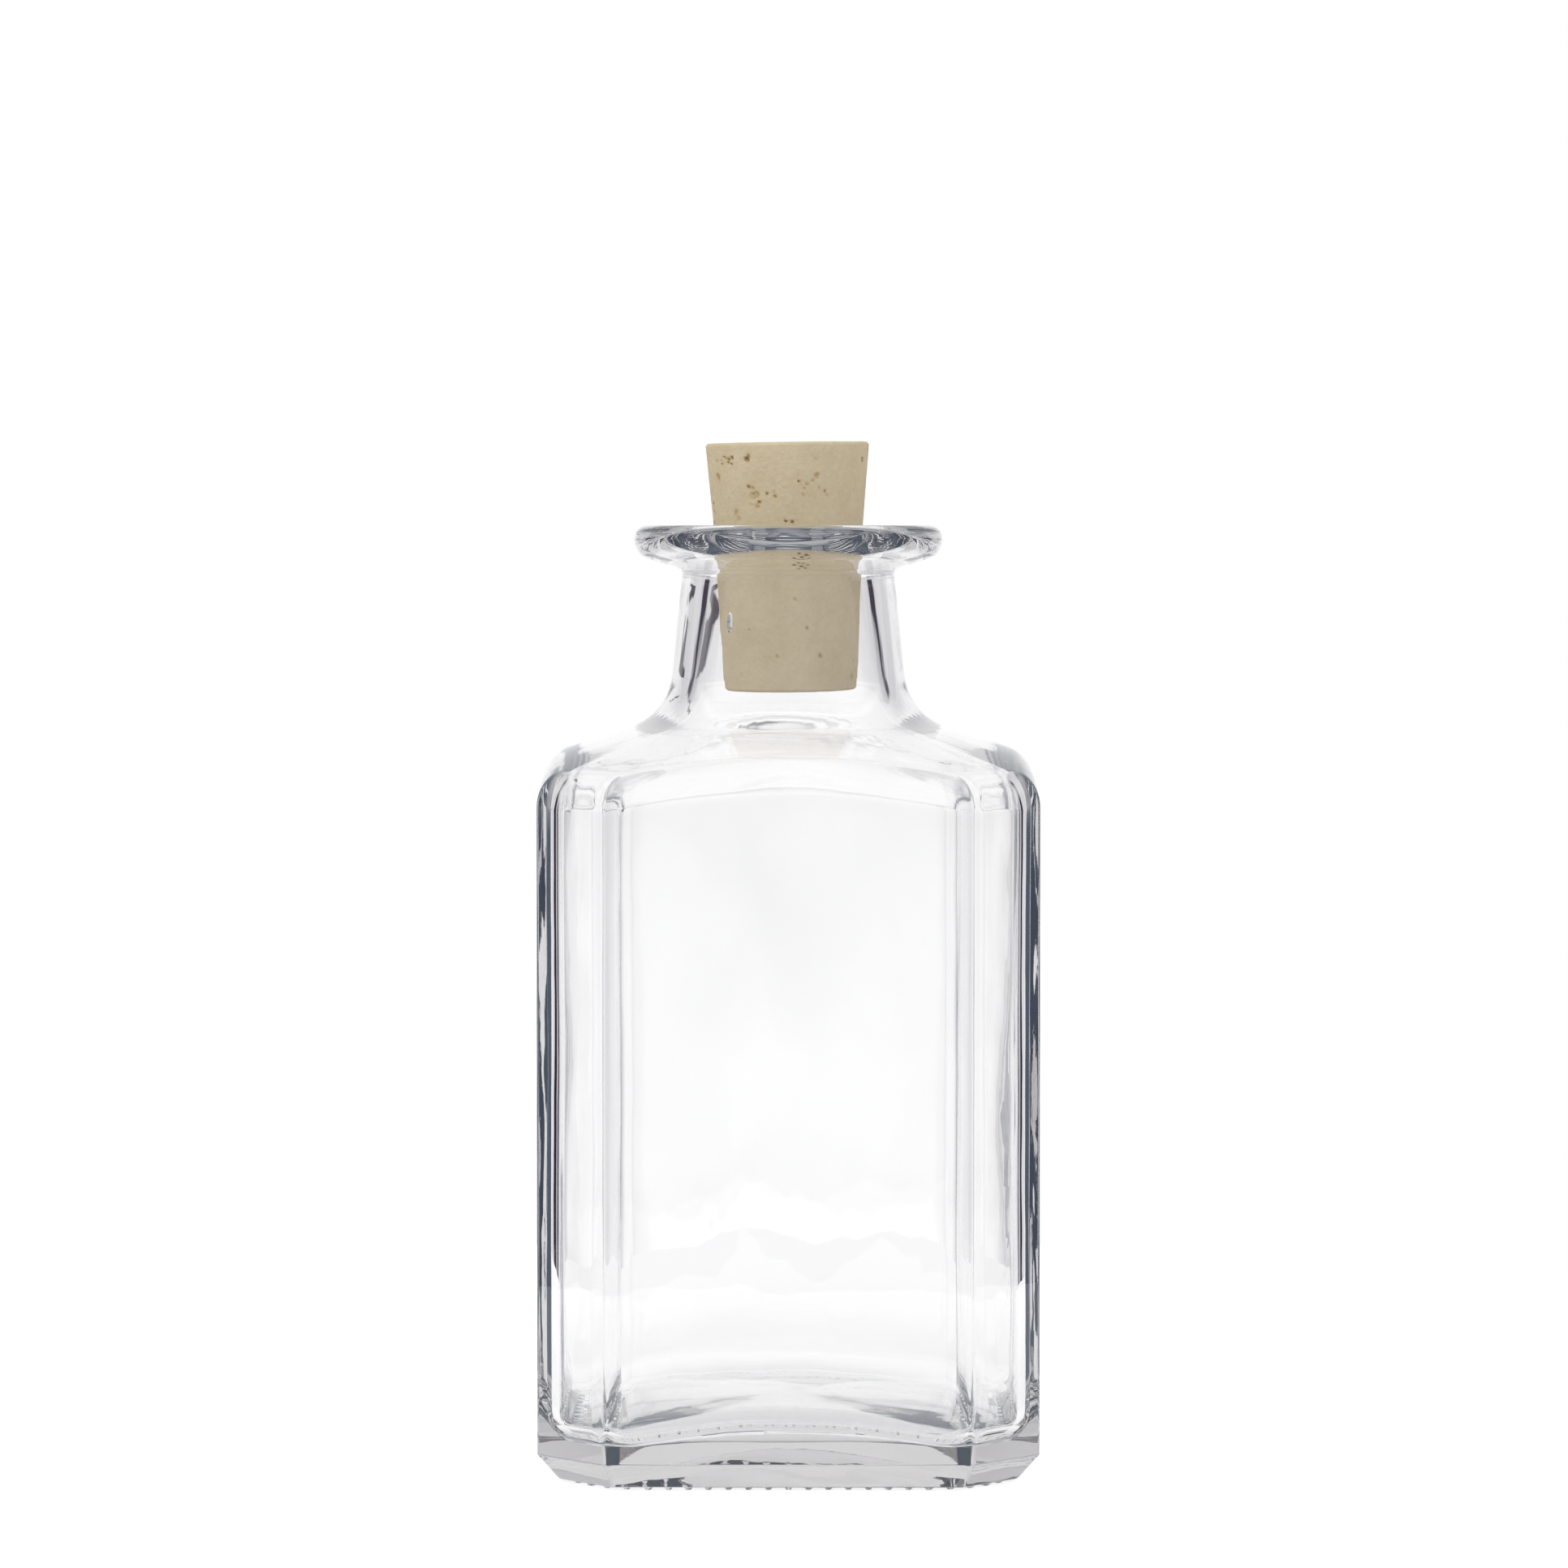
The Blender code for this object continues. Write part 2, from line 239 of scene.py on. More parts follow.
# The studio for light that went straight through both walls, so bent more often than the first
# number and met fewer surfaces than the second: the same behind the bottle, white on all four sides
STRAIGHT_BENDS = 3.5
STRAIGHT_MEETINGS = 5.5
THROUGH_LEVELS = CARD_LEVELS[:10] + (
    (70, (0.60, 0.60, 0.61)), (78, (0.90, 0.90, 0.91)), (84, (0.98, 0.98, 0.985)),
    (90, (1.0, 1.0, 1.0)), (96, (0.98, 0.98, 0.985)), (102, (0.90, 0.90, 0.91)),
    (114, (0.72, 0.72, 0.73)), (156, (0.72, 0.72, 0.73)), (168, (0.90, 0.90, 0.91)),
    (175, (0.97, 0.97, 0.975)), (180, (1.0, 1.0, 1.0)),
)
FROM_ABOVE = (-0.20, -0.13)
FROM_ABOVE_LEVEL = (0.92, 0.92, 0.925)

# A narrow dark card behind on the left: from and to which angles, and between which heights
SLIP_FROM = (-33, -31)
SLIP_TO = (-17, -15)
SLIP_FOOT = (0.088, 0.098)
SLIP_TOP = (0.126, 0.138)

# Strength of the whole studio in the glass, and how that changes by height
BRIGHTEST = 1.18
CARD_DIM = (-0.085, -0.045, 1, 0.92)
CARD_DIM_FOOT = (-0.120, -0.100, 0.96, 1)

# The plain soft light that the studio sheds on all but the glass
SOFT_LIGHT = (0.88, 0.88, 0.89)

# Light that has met more surfaces than this, in the body and in the lip, with the change between
# these heights, is taken as lost in the glass, and there the glass glows with painted light at
# these mean levels by height
TRAPPED_BODY = 8.5
TRAPPED_LIP = 5.5
TRAPPED_CHANGE = (0.102, 0.112)
TRAPPED_PAINTED_GLOW = (
    (0.0055, (0.60, 0.60, 0.61)), (0.0070, (0.12, 0.15, 0.20)), (0.078, (0.12, 0.15, 0.20)),
    (0.088, (0.62, 0.62, 0.63)), (0.098, (0.70, 0.70, 0.72)), (0.105, (1.0, 1.0, 1.02)),
    (0.114, (1.2, 1.2, 1.22)),
)

# The table, and its glow: to the camera, and to the glass by distance from the bottle's axis
TABLE_RADIUS = 0.22
TABLE_COLOUR = (0.80, 0.80, 0.80)
TABLE_ROUGHNESS = 0.8
TABLE_SHINE = 0.1
TABLE_GLOW_SEEN = 0.4
TABLE_GLOW = 0.12
TABLE_GLOW_NEAR = (0.045, 0.075, 0.12, 0)
TABLE_GLOW_FAR = (0.10, 0.20, 0, 0.055)

# The lamps: name, place and power; all are this wide and aim at this height on the axis
LAMPS = (("key", (-0.6, -0.5, 0.9), 5.0), ("fill", (0.8, -0.5, 0.5), 1.5))
LAMP_WIDTH = 0.7
LAMP_AIM = 0.06


def heading(slope):
    """A direction in a plane, as an angle from its first axis."""
    return Vector((math.cos(slope), math.sin(slope)))


def outline_point(station, inset, rounding):
    """A point of the eight-sided outline, moved in by the inset, its edges rounded.

    The station runs from 0 at the middle of a panel to 1 where the edge starts to turn, to 2 where
    the corner flat starts, and to 3 at that flat's middle.
    """
    flat = HALF_WIDTH - inset - rounding
    centre = Vector((flat, (HALF_CORNER - inset - rounding) * math.sqrt(2) - flat))
    if station <= 1:
        return Vector((flat + rounding, centre.y * station))
    if station <= 2:
        return centre + heading((station - 1) * EIGHTH) * rounding
    end = centre + heading(EIGHTH) * rounding
    return end.lerp(heading(EIGHTH) * (HALF_CORNER - inset), station - 2)


def crossing(first, first_way, second, second_way):
    """Where two lines cross, in the plane of distance from the axis and height."""
    turn = first_way.cross(second_way)
    return first + first_way * ((second - first).cross(second_way) / turn)


def cone_height(radius):
    """Height of the shoulder's cone at a distance from the axis."""
    return SHOULDER_HEIGHT + (HALF_WIDTH - radius) * math.tan(SHOULDER_SLOPE)


def neck_corners():
    """The sharp corners of the neck, lip and bore, as distance from the axis and height."""
    cone_way = heading(math.pi - SHOULDER_SLOPE)
    cone = Vector((HALF_WIDTH, SHOULDER_HEIGHT))
    inner_cone = cone - Vector((0, SHOULDER_WALL / math.cos(SHOULDER_SLOPE)))
    lip_low = Vector((LIP_HALF, BOTTLE_HEIGHT - LIP_DEPTH))
    under_way = heading(math.pi + LIP_UNDER_SLOPE)
    neck_side = Vector((NECK_DIAMETER / 2, 0))
    neck_top = crossing(neck_side, Vector((0, 1)), lip_low, under_way)
    neck_root = crossing(cone, cone_way, neck_top, heading(math.pi / 2 + NECK_TAPER))
    lip_high = Vector((LIP_HALF, BOTTLE_HEIGHT))
    mouth = Vector((MOUTH_DIAMETER / 2, BOTTLE_HEIGHT))
    bore_way = heading(BORE_TAPER - math.pi / 2)
    bore_top = Vector((THROAT_HALF, BOTTLE_HEIGHT - LIP_DEPTH))
    throat = crossing(mouth, heading(math.pi / 2 - MOUTH_SLOPE), bore_top, bore_way)
    bore_root = crossing(throat, bore_way, inner_cone, cone_way)
    return neck_root, neck_top, lip_low, lip_high, mouth, throat, bore_root


def raised(point, height):
    """A point of a level outline, put at a height."""
    return Vector((point.x, point.y, height))


def rounded(before, corner, after, radius, steps):
    """Points of the arc that rounds a corner between two straight stretches."""
    back = (before - corner).normalized()
    ahead = (after - corner).normalized()
    half = back.angle(ahead) / 2
    centre = corner + (back + ahead).normalized() * radius / math.sin(half)
    start = (corner + back * radius / math.tan(half) - centre).normalized()
    end = (corner + ahead * radius / math.tan(half) - centre).normalized()
    return [centre + start.slerp(end, step / steps) * radius for step in range(steps + 1)]


def dome(edge, centre_height, steps):
    """Points from the edge of a dome in towards the middle, but not the middle itself."""
    rise = centre_height - edge.z
    shares = [1 - step / steps for step in range(steps)]
    return [raised(edge * share, edge.z + rise * (1 - share**2)) for share in shares]


def floor_height(point):
    """Height of the floor at the foot of the wall: lower where the wall is farther out."""
    nearest = HALF_WIDTH - WALL
    farthest = HALF_CORNER - WALL
    share = (point.length - nearest) / (farthest - nearest)
    return FLOOR_SIDE_HEIGHT + (FLOOR_CORNER_HEIGHT - FLOOR_SIDE_HEIGHT) * share


def stretch(points, steps):
    """Evenly spaced points from the last of a run towards the next corner, ends left out."""
    start, end = points
    return [start.lerp(end, step / steps) for step in range(1, steps)]


def ring_line():
    """Lengths of the bearing ring's middle line along an eighth: straight, turned and slanting."""
    straight = outline_point(1, RING_INSET, RING_ROUNDING).y
    corner = outline_point(3, RING_INSET, RING_ROUNDING)
    slant = (corner - outline_point(2, RING_INSET, RING_ROUNDING)).length
    return straight, RING_ROUNDING * EIGHTH, slant


def ring_station(along):
    """The station at a distance along the bearing ring's middle line from a panel's middle."""
    straight, turned, slant = ring_line()
    if along <= straight:
        return along / straight
    if along <= straight + turned:
        return 1 + (along - straight) / turned
    return min(2 + (along - straight - turned) / slant, 3)


def knurl_spacing():
    """How many knurls a quarter of the bearing ring takes, and their true pitch."""
    quarter = 2 * sum(ring_line())
    count = round(quarter / KNURL_PITCH)
    return count, quarter / count


def stations():
    """Stations and ring distances of an eighth: at each knurl's edges, and on the corner flat."""
    eighth = sum(ring_line())
    count, pitch = knurl_spacing()
    marks = (-KNURL_WIDTH / 2, -KNURL_TIP_WIDTH / 2, KNURL_TIP_WIDTH / 2, KNURL_WIDTH / 2)
    alongs = [0, eighth] + [knurl * pitch + mark for knurl in range(count) for mark in marks]
    found = [(ring_station(along), along) for along in alongs if 0 <= along <= eighth]
    flat_stations = (2.2, 2.45, 2.7)
    found += [(station, sum(ring_line()[:2])) for station in flat_stations]
    return sorted(found)


def bottle_column(station):
    """One column, up the outside, over the lip and down the inside: (point, across ring, side)."""
    outer = outline_point(station, 0, CORNER_EDGE_RADIUS)
    inner = outline_point(station, WALL, INNER_CORNER_RADIUS)
    heel = outline_point(station, HEEL_INSET, CORNER_EDGE_RADIUS)
    ring = outline_point(station, HEEL_INSET + BEARING_WIDTH, PUSH_UP_CORNER_RADIUS)
    ring = raised(ring, KNURL_HEIGHT)
    heel_foot = raised(heel, KNURL_HEIGHT)
    heel_top = raised(outer, HEEL_HEIGHT)
    shoulder = raised(outer, cone_height(outer.length))
    outward = outer.normalized()
    turned = [raised(outward * corner.x, corner.y) for corner in neck_corners()]
    neck_root, neck_top, lip_low, lip_high, mouth, throat, bore_root = turned
    inner_cone_height = cone_height(inner.length) - SHOULDER_WALL / math.cos(SHOULDER_SLOPE)
    inner_shoulder = raised(inner, inner_cone_height)
    floor_edge = raised(inner, floor_height(inner))
    floor = dome(floor_edge, FLOOR_CENTRE_HEIGHT, FLOOR_STEPS)
    marks = (KNURL_LENGTH / 2, KNURL_TIP_LENGTH / 2, 0, -KNURL_TIP_LENGTH / 2, -KNURL_LENGTH / 2)
    knurled = [outline_point(station, RING_INSET + mark, RING_ROUNDING - mark) for mark in marks]
    push_up = dome(ring, KNURL_HEIGHT + PUSH_UP_DEPTH, PUSH_UP_STEPS)
    rows = [(point, None) for point in push_up[::-1]]
    rows += [(raised(point, KNURL_HEIGHT), mark) for point, mark in zip(knurled, marks)]

    # Each rounded corner in so many steps, and the steps of the straight stretch after it
    runs = (
        (rounded(ring, heel_foot, heel_top, HEEL_RADIUS, 4), 3),
        (rounded(heel_foot, heel_top, shoulder, HEEL_RADIUS, 4), 42),
        (rounded(heel_top, shoulder, neck_root, SHOULDER_RADIUS, 10), 7),
        (rounded(shoulder, neck_root, neck_top, NECK_ROOT_RADIUS, 10), 9),
        (rounded(neck_root, neck_top, lip_low, LIP_ROOT_RADIUS, 4), 3),
        (rounded(neck_top, lip_low, lip_high, LIP_LOWER_RADIUS, 8), 2),
        (rounded(lip_low, lip_high, mouth, LIP_UPPER_RADIUS, 7), 4),
        (rounded(lip_high, mouth, throat, MOUTH_RADIUS, 5), 4),
        (rounded(mouth, throat, bore_root, THROAT_RADIUS, 8), 6),
        (rounded(throat, bore_root, inner_shoulder, BORE_ROOT_RADIUS, 14), 3),
        (rounded(bore_root, inner_shoulder, floor_edge, INNER_SHOULDER_RADIUS, 14), 42),
        (rounded(inner_shoulder, floor_edge, floor[1], FLOOR_RADIUS, 9), 1),
    )
    for (arc, steps), (after, _) in zip(runs, runs[1:] + (([floor[1]], 0),)):
        rows += [(point, None) for point in arc + stretch((arc[-1], after[0]), steps)]
    return rows + [(point, None) for point in floor[1:]]


def all_round(eighth):
    """Columns of the whole outline, from those of an eighth: mirrored once, then turned."""
    flip = Matrix(((0, 1, 0), (1, 0, 0), (0, 0, 1)))
    mirrored = []
    for rows, along in eighth[-2:0:-1]:
        mirrored.append(([(flip @ point, mark) for point, mark in rows], along))
    columns = []
    for quarter in range(4):
        turn = Matrix.Rotation(quarter * 2 * EIGHTH, 3, "Z")
        for rows, along in eighth + mirrored:
            columns.append(([(turn @ point, mark) for point, mark in rows], along))
    return columns


def glass_loft():
    """The bottle's closed mesh before pressing, with each point's place on the bearing ring."""
    eighth = [(bottle_column(station), along) for station, along in stations()]
    columns = all_round(eighth)
    mesh = bmesh.new()
    along_layer = mesh.verts.layers.float.new("ring_along")
    across_layer = mesh.verts.layers.float.new("ring_across")
    inside_layer = mesh.verts.layers.float.new("inside")
    lip_row = max(range(len(columns[0][0])), key=lambda row: columns[0][0][row][0].z)
    grid = []
    for rows, along in columns:
        column = []
        for number, (point, mark) in enumerate(rows):
            vert = mesh.verts.new(point)
            vert[along_layer] = along
            vert[across_layer] = 1 if mark is None else mark
            vert[inside_layer] = float(number > lip_row)
            column.append(vert)
        grid.append(column)
    foot = mesh.verts.new((0, 0, KNURL_HEIGHT + PUSH_UP_DEPTH))
    floor = mesh.verts.new((0, 0, FLOOR_CENTRE_HEIGHT))
    foot[across_layer] = 1
    floor[across_layer] = 1
    floor[inside_layer] = 1
    for column, beside in zip(grid, grid[1:] + grid[:1]):
        for row in range(len(column) - 1):
            mesh.faces.new((column[row], beside[row], beside[row + 1], column[row + 1]))
        mesh.faces.new((foot, column[0], beside[0]))
        mesh.faces.new((floor, column[-1], beside[-1]))
    bmesh.ops.recalc_face_normals(mesh, faces=mesh.faces)
    add_bubble(mesh, across_layer, inside_layer)
    return mesh


def add_bubble(mesh, across_layer, inside_layer):
    """A long bubble of air in the neck's wall, whose faces point into the air."""
    wall_faces = len(mesh.faces)
    bubble = bmesh.ops.create_uvsphere(mesh, u_segments=4, v_segments=12, radius=1)["verts"]
    for vert in bubble:
        offset = [half * share for half, share in zip(BUBBLE_HALF, vert.co)]
        vert.co = Vector(BUBBLE_PLACE) + Vector(offset)
        vert[across_layer] = 1
        vert[inside_layer] = 1
    mesh.faces.ensure_lookup_table()
    bmesh.ops.reverse_faces(mesh, faces=mesh.faces[wall_faces:])


def node(tree, kind, **settings):
    """A node of a kind, with its properties set."""
    made = tree.nodes.new(kind)
    for name, value in settings.items():
        setattr(made, name, value)
    return made


def feed(tree, target, socket, source):
    """Sets an input socket: from another socket, or as a plain value."""
    found = target.inputs[socket]
    if isinstance(source, bpy.types.NodeSocket):
        tree.links.new(source, found)
    else:
        found.default_value = source


def maths(tree, operation, *sources):
    """The output of a Math node over sockets or numbers."""
    made = node(tree, "ShaderNodeMath", operation=operation)
    for place, source in enumerate(sources):
        feed(tree, made, place, source)
    return made.outputs[0]


def product(tree, first, *others):
    """The product of sockets or numbers, multiplied in their order."""
    for other in others:
        first = maths(tree, "MULTIPLY", first, other)
    return first


def axes_of(tree, vector):
    """The X, Y and Z of a vector."""
    made = node(tree, "ShaderNodeSeparateXYZ")
    feed(tree, made, 0, vector)
    return made.outputs


def from_axes(tree, **axes):
    """A vector from its X, Y and Z, each a socket or a number, and 0 where it isn't given."""
    made = node(tree, "ShaderNodeCombineXYZ")
    for name, source in axes.items():
        feed(tree, made, name, source)
    return made.outputs[0]


def vector_maths(tree, operation, *sources, scale=None):
    """The output of a Vector Math node: a number for a length, and else a vector."""
    made = node(tree, "ShaderNodeVectorMath", operation=operation)
    for place, source in enumerate(sources):
        feed(tree, made, place, source)
    if scale is not None:
        feed(tree, made, "Scale", scale)
    return made.outputs["Value" if operation == "LENGTH" else "Vector"]


def ramp(tree, value, low, high, first=0, last=1, smooth=True):
    """A value mapped from one range to another, held at the ends."""
    made = node(tree, "ShaderNodeMapRange")
    made.interpolation_type = "SMOOTHSTEP" if smooth else "LINEAR"
    names = ("Value", "From Min", "From Max", "To Min", "To Max")
    for name, source in zip(names, (value, low, high, first, last)):
        feed(tree, made, name, source)
    return made.outputs["Result"]


def noise(tree, vector, size, seed, detail=0, roughness=0.5):
    """Noise from -1 to 1 over features of a size, different for each seed."""
    made = node(tree, "ShaderNodeTexNoise", noise_dimensions="4D")
    feed(tree, made, "Vector", vector)
    feed(tree, made, "Scale", maths(tree, "DIVIDE", 1, size))
    feed(tree, made, "W", seed)
    feed(tree, made, "Detail", detail)
    feed(tree, made, "Roughness", roughness)
    return maths(tree, "MULTIPLY", maths(tree, "SUBTRACT", made.outputs["Fac"], 0.5), 2)


def new_tree(name, sizes):
    """A Geometry Nodes tree with a geometry input and a number input for each named size."""
    tree = bpy.data.node_groups.new(name, "GeometryNodeTree")
    tree.interface.new_socket("Geometry", in_out="INPUT", socket_type="NodeSocketGeometry")
    tree.interface.new_socket("Geometry", in_out="OUTPUT", socket_type="NodeSocketGeometry")
    for label in sizes:
        tree.interface.new_socket(label, in_out="INPUT", socket_type="NodeSocketFloat")
    return tree, tree.nodes.new("NodeGroupInput"), tree.nodes.new("NodeGroupOutput")


def named(tree, attribute):
    """A float attribute of the mesh."""
    made = node(tree, "GeometryNodeInputNamedAttribute", data_type="FLOAT")
    made.inputs["Name"].default_value = attribute
    return made.outputs["Attribute"]


def trapezoid(tree, distance, base, tip):
    """1 within half the tip's size of the middle, down to 0 at half the base's."""
    apart = maths(tree, "ABSOLUTE", distance)
    return ramp(tree, apart, maths(tree, "DIVIDE", tip, 2), maths(tree, "DIVIDE", base, 2), 1, 0, False)


def ridge(tree, distance, width):
    """A soft ridge of a width over a distance from its middle line."""
    return ramp(tree, maths(tree, "ABSOLUTE", distance), 0, width, 1, 0)


# The inputs of the tree that presses the glass
PRESS_SIZES = {
    "Knurl height": KNURL_HEIGHT, "Knurl pitch": knurl_spacing()[1], "Knurl width": KNURL_WIDTH,
    "Knurl tip width": KNURL_TIP_WIDTH, "Knurl length": KNURL_LENGTH,
    "Knurl tip length": KNURL_TIP_LENGTH, "Wave depth": WAVE_DEPTH, "Wave size": WAVE_SIZE,
    "Ripple depth": RIPPLE_DEPTH, "Ripple size": RIPPLE_SIZE, "Skin depth": SKIN_DEPTH,
    "Skin size": SKIN_SIZE, "Seam height": SEAM_HEIGHT, "Seam width": SEAM_WIDTH,
    "Neck ring height": NECK_RING_HEIGHT, "Seed": PRESS_SEED,
}


def knurl_drop(tree, sizes):
    """How far down a point of the foot is drawn, into the knurls round the bearing ring."""
    half_pitch = maths(tree, "DIVIDE", sizes["Knurl pitch"], 2)
    beside = maths(tree, "PINGPONG", named(tree, "ring_along"), half_pitch)
    along = trapezoid(tree, beside, sizes["Knurl width"], sizes["Knurl tip width"])
    ring_across = named(tree, "ring_across")
    across = trapezoid(tree, ring_across, sizes["Knurl length"], sizes["Knurl tip length"])
    return product(tree, along, across, sizes["Knurl height"])


def unevenness(tree, sizes, position):
    """How proud a point stands: by waves inside, and by a fine skin and a parting ring outside."""
    height = axes_of(tree, position)["Z"]
    inside = named(tree, "inside")
    tall = vector_maths(tree, "MULTIPLY", position, WAVE_STRETCH)
    wave = noise(tree, tall, sizes["Wave size"], sizes["Seed"], 1)
    ripple = noise(tree, tall, sizes["Ripple size"], maths(tree, "ADD", sizes["Seed"], 7), 1)
    waves = maths(tree, "ADD", product(tree, wave, sizes["Wave depth"]),
                  product(tree, ripple, sizes["Ripple depth"]))
    below_neck = product(tree, ramp(tree, height, *WAVE_SHOULDER), ramp(tree, height, *WAVE_END))
    waves = product(tree, waves, inside, below_neck)

    off_foot = ramp(tree, height, *SKIN_START)
    outside = product(tree, maths(tree, "SUBTRACT", 1, inside), off_foot)
    skin = noise(tree, position, sizes["Skin size"], maths(tree, "ADD", sizes["Seed"], 13), 1)
    skin = product(tree, skin, sizes["Skin depth"], outside, ramp(tree, height, *SKIN_END))
    over_ring = maths(tree, "SUBTRACT", height, sizes["Neck ring height"])
    seam = product(tree, ridge(tree, over_ring, sizes["Seam width"]), sizes["Seam height"], outside)
    return maths(tree, "ADD", maths(tree, "ADD", waves, skin), seam)


def pressing_tree(material):
    """Presses the knurls, the parting ring and the glass's waves into the loft."""
    tree, given, out = new_tree("bottle_pressing", PRESS_SIZES)
    sizes = given.outputs
    position = node(tree, "GeometryNodeInputPosition").outputs[0]
    normal = node(tree, "GeometryNodeInputNormal").outputs[0]
    proud = vector_maths(tree, "SCALE", normal, scale=unevenness(tree, sizes, position))
    down = from_axes(tree, Z=product(tree, knurl_drop(tree, sizes), -1))
    pressed = node(tree, "GeometryNodeSetPosition")
    feed(tree, pressed, "Geometry", given.outputs["Geometry"])
    feed(tree, pressed, "Offset", vector_maths(tree, "ADD", proud, down))
    finish_tree(tree, pressed.outputs[0], out, material)
    return tree


def finish_tree(tree, geometry, out, material):
    """Ends a tree: instances made real, and the material set."""
    real = node(tree, "GeometryNodeRealizeInstances")
    feed(tree, real, 0, geometry)
    dressed = node(tree, "GeometryNodeSetMaterial")
    feed(tree, dressed, "Geometry", real.outputs[0])
    dressed.inputs["Material"].default_value = material
    feed(tree, out, "Geometry", dressed.outputs[0])


def evaluated(name, mesh, tree, sizes, sharp_angle):
    """A plain mesh object from a mesh and a tree with its sizes, at the origin."""
    data = bpy.data.meshes.new(name + "_blank")
    mesh.to_mesh(data)
    mesh.free()
    blank = bpy.data.objects.new(name + "_blank", data)
    bpy.context.scene.collection.objects.link(blank)
    modifier = blank.modifiers.new("shape", "NODES")
    modifier.node_group = tree
    for item in tree.interface.items_tree:
        if item.in_out == "INPUT" and item.name in sizes:
            modifier[item.identifier] = float(sizes[item.name])
    bpy.context.view_layer.update()
    graph = bpy.context.evaluated_depsgraph_get()
    made = bpy.data.meshes.new_from_object(blank.evaluated_get(graph))
    bpy.data.objects.remove(blank)
    made.name = name
    made.shade_smooth()
    made.set_sharp_from_angle(angle=sharp_angle)
    piece = bpy.data.objects.new(name, made)
    bpy.context.scene.collection.objects.link(piece)
    return piece


def new_material(name):
    """A material with its node tree and its Principled shader."""
    material = bpy.data.materials.new(name)
    material.use_nodes = True
    tree = material.node_tree
    return material, tree, tree.nodes["Principled BSDF"]


def blended(tree, factor, first, second):
    """A mix of two colours, each a socket or three numbers."""
    made = node(tree, "ShaderNodeMix", data_type="RGBA")
    feed(tree, made, 0, factor)
    for place, colour in ((6, first), (7, second)):
        feed(tree, made, place, colour if isinstance(colour, bpy.types.NodeSocket) else (*colour, 1))
    return made.outputs[2]


def level_ramp(tree, share, levels, whole):
    """A colour ramp over a share of a whole, from pairs of place and colour."""
    made = node(tree, "ShaderNodeValToRGB")
    stops = made.color_ramp.elements
    while len(stops) < len(levels):
        stops.new(0.5)
    for stop, (place, _) in zip(stops, levels):
        stop.position = place / whole
    for stop, (_, colour) in zip(stops, levels):
        stop.color = (*colour, 1)
    feed(tree, made, 0, share)
    return made.outputs[0]


def kept(tree, name):
    """A float that Geometry Nodes kept on the mesh, for a material."""
    return node(tree, "ShaderNodeAttribute", attribute_name=name).outputs["Fac"]


def shader_mix(tree, factor, first, second):
    """A mix of two shaders."""
    made = node(tree, "ShaderNodeMixShader")
    for place, source in enumerate((factor, first, second)):
        feed(tree, made, place, source)
    return made.outputs[0]


def glass_peel(tree, place, height):
    """A normal with the faint peel of moulded glass, which fades out in the neck."""
    tall = vector_maths(tree, "MULTIPLY", place, PEEL_STRETCH)
    coarse = noise(tree, tall, PEEL_COARSE, 3, 1)
    fine = noise(tree, tall, PEEL_FINE, 8, 1)
    uneven = maths(tree, "ADD", coarse, product(tree, fine, PEEL_FINE_SHARE))
    peel = node(tree, "ShaderNodeBump")
    peel.inputs["Distance"].default_value = PEEL_DEPTH
    feed(tree, peel, "Height", product(tree, uneven, ramp(tree, height, *PEEL_END)))
    return peel.outputs[0]


def glass_material():
    """Colourless bottle glass with a faint peel, which dims the light along long ways through it, and
    glows with painted light by height where light is taken as lost in it.
    """
    material, tree, shader = new_material("clear_glass")
    place = node(tree, "ShaderNodeTexCoord").outputs["Object"]
    height = axes_of(tree, place)["Z"]
    shader.inputs["Base Color"].default_value = (1, 1, 1, 1)
    shader.inputs["Roughness"].default_value = 0
    shader.inputs["Metallic"].default_value = 0
    shader.inputs["Transmission Weight"].default_value = 1
    shader.inputs["IOR"].default_value = GLASS_INDEX
    feed(tree, shader, "Normal", glass_peel(tree, place, height))

    # Painted light: where a ray has met too many surfaces, the glass glows by height instead of passing
    # the light on
    light = node(tree, "ShaderNodeLightPath")
    share = maths(tree, "DIVIDE", height, BOTTLE_HEIGHT)
    painted_glow = node(tree, "ShaderNodeEmission")
    feed(tree, painted_glow, "Color", level_ramp(tree, share, TRAPPED_PAINTED_GLOW, BOTTLE_HEIGHT))
    most = ramp(tree, height, *TRAPPED_CHANGE, TRAPPED_BODY, TRAPPED_LIP)
    lost = maths(tree, "GREATER_THAN", light.outputs["Ray Depth"], most)
    surface = shader_mix(tree, lost, shader.outputs[0], painted_glow.outputs[0])

    see_through = node(tree, "ShaderNodeBsdfTransparent")
    see_through.inputs["Color"].default_value = (*GLASS_SHADOW, 1)
    surface = shader_mix(tree, light.outputs["Is Shadow Ray"], surface, see_through.outputs[0])
    body = node(tree, "ShaderNodeVolumeAbsorption")
    body.inputs["Color"].default_value = (*GLASS_TINT, 1)
    body.inputs["Density"].default_value = GLASS_DENSITY
    out = tree.nodes["Material Output"]
    feed(tree, out, "Surface", surface)
    feed(tree, out, "Volume", body.outputs[0])
    return material


